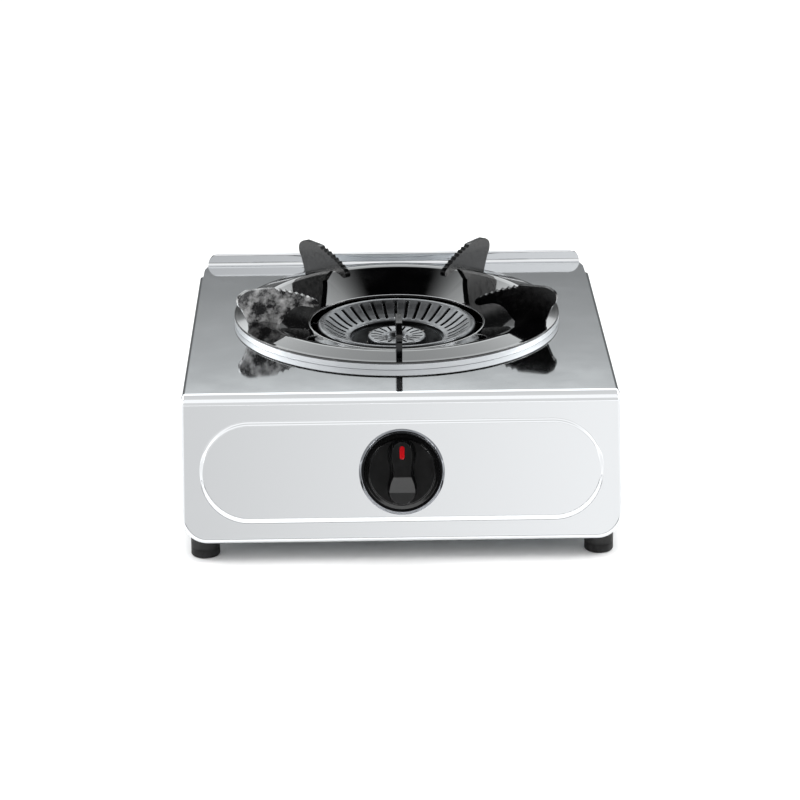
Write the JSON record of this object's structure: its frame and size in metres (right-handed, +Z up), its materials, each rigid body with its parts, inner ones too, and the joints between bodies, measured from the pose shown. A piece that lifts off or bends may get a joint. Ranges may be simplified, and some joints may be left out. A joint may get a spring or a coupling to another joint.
{
  "type": "tabletop gas stove",
  "caption": "Low stainless steel tabletop gas stove with a tilted front fascia, a push-and-turn knob, an enamelled pan support and a double-ring burner.",
  "frame": {"origin": "on the table under the middle of the stove's overall width and depth", "axes": "+X to the right, +Y to the back, +Z up; the fascia and knob face -Y"},
  "size_m": [0.308, 0.3786, 0.146],
  "materials": {
    "stainless_sheet": "mirror polished stainless sheet",
    "galvanised_steel": "zinc plated",
    "black_rubber": "moulded",
    "black_enamel": "gloss vitreous enamel",
    "burner_alloy": "cast and machined",
    "chrome_bezel": "plated",
    "black_knob": "moulded, part satin",
    "red_mark": "inlay",
    "brass": "turned",
    "spring_steel": "drawn wire",
    "igniter_plastic": "moulded",
    "cam_plastic": "moulded",
    "lead_sleeve": "silicone sleeve",
    "white_ceramic": "fired",
    "probe_steel": "heat tinted",
    "copper": "drawn tube"
  },
  "bodies": {
    "casing": {"top_panel": "stainless_sheet", "left_side_panel": "stainless_sheet", "right_side_panel": "stainless_sheet", "rear_panel": "stainless_sheet", "base_plate": "galvanised_steel", "front_left_foot": "black_rubber", "front_right_foot": "black_rubber", "rear_left_foot": "black_rubber", "rear_right_foot": "black_rubber", "foot_screws": "galvanised_steel", "base_screws": "galvanised_steel", "rear_panel_screws": "galvanised_steel", "burner_base": "burner_alloy", "burner_bracket": "galvanised_steel", "burner_bracket_screws": "galvanised_steel", "outer_injector": "brass", "inner_injector": "brass", "knob_bezel": "chrome_bezel", "valve_body": "brass", "valve_cap": "galvanised_steel", "valve_cap_screws": "galvanised_steel", "valve_bracket": "galvanised_steel", "valve_bracket_screws": "galvanised_steel", "piezo_igniter": "igniter_plastic", "ignition_lead": "lead_sleeve", "electrode_insulator": "white_ceramic", "electrode_rod": "probe_steel", "thermocouple": "probe_steel", "thermocouple_lead": "copper", "probe_bracket": "galvanised_steel", "probe_bracket_screw": "galvanised_steel", "safety_magnet": "brass", "magnet_nut": "brass", "supply_pipe": "copper", "pipe_nut": "brass", "inlet_fitting": "brass", "inlet_locknut": "brass", "hose_spigot": "brass"},
    "tap_plug": {"valve_plug": "brass"},
    "knob": {"knob": "black_knob", "knob_pointer": "red_mark", "knob_sleeve": "galvanised_steel", "spindle": "brass", "ignition_cam": "cam_plastic", "spindle_spring": "spring_steel"},
    "pan_support": {"drip_ring": "black_enamel", "pan_finger_1": "black_enamel", "pan_finger_2": "black_enamel", "pan_finger_3": "black_enamel", "pan_finger_4": "black_enamel", "pan_finger_5": "black_enamel"},
    "outer_crown": {"outer_crown": "burner_alloy"},
    "inner_cap": {"inner_cap": "burner_alloy"},
    "outer_air_shutter": {"outer_air_shutter": "galvanised_steel"},
    "inner_air_shutter": {"inner_air_shutter": "galvanised_steel"},
    "igniter_plunger": {"igniter_plunger": "cam_plastic"}
  },
  "joints": [
    {"name": "knob_turn", "type": "hinge", "parent": "casing", "child": "tap_plug", "pos_m": [0, -0.16017, 0.06125], "axis": [0, -0.9397, 0.342], "range_deg": [0, 180]},
    {"name": "knob_push", "type": "slide", "parent": "tap_plug", "child": "knob", "axis": [0, 0.9397, -0.342], "range_m": [0, 0.004], "stiffness_N_per_m": 1500, "springref_m": -0.004, "deforming": ["spindle_spring"]},
    {"name": "pan_support_lift", "type": "slide", "parent": "casing", "child": "pan_support", "axis": [0, 0, 1], "range_m": [0, 0.06]},
    {"name": "outer_crown_lift", "type": "slide", "parent": "casing", "child": "outer_crown", "axis": [0, 0, 1], "range_m": [0, 0.02]},
    {"name": "inner_cap_lift", "type": "slide", "parent": "casing", "child": "inner_cap", "axis": [0, 0, 1], "range_m": [0, 0.02]},
    {"name": "outer_air_shutter_turn", "type": "hinge", "parent": "casing", "child": "outer_air_shutter", "pos_m": [-0.017, -0.0518, 0.052], "axis": [0, 1, 0], "range_deg": [0, 50]},
    {"name": "inner_air_shutter_turn", "type": "hinge", "parent": "casing", "child": "inner_air_shutter", "pos_m": [0.013, -0.0518, 0.052], "axis": [0, 1, 0], "range_deg": [0, 50]},
    {"name": "igniter_trip", "type": "slide", "parent": "casing", "child": "igniter_plunger", "axis": [-1, 0, 0], "range_m": [0, 0.003], "stiffness_N_per_m": 800, "springref_m": -0.002}
  ]
}
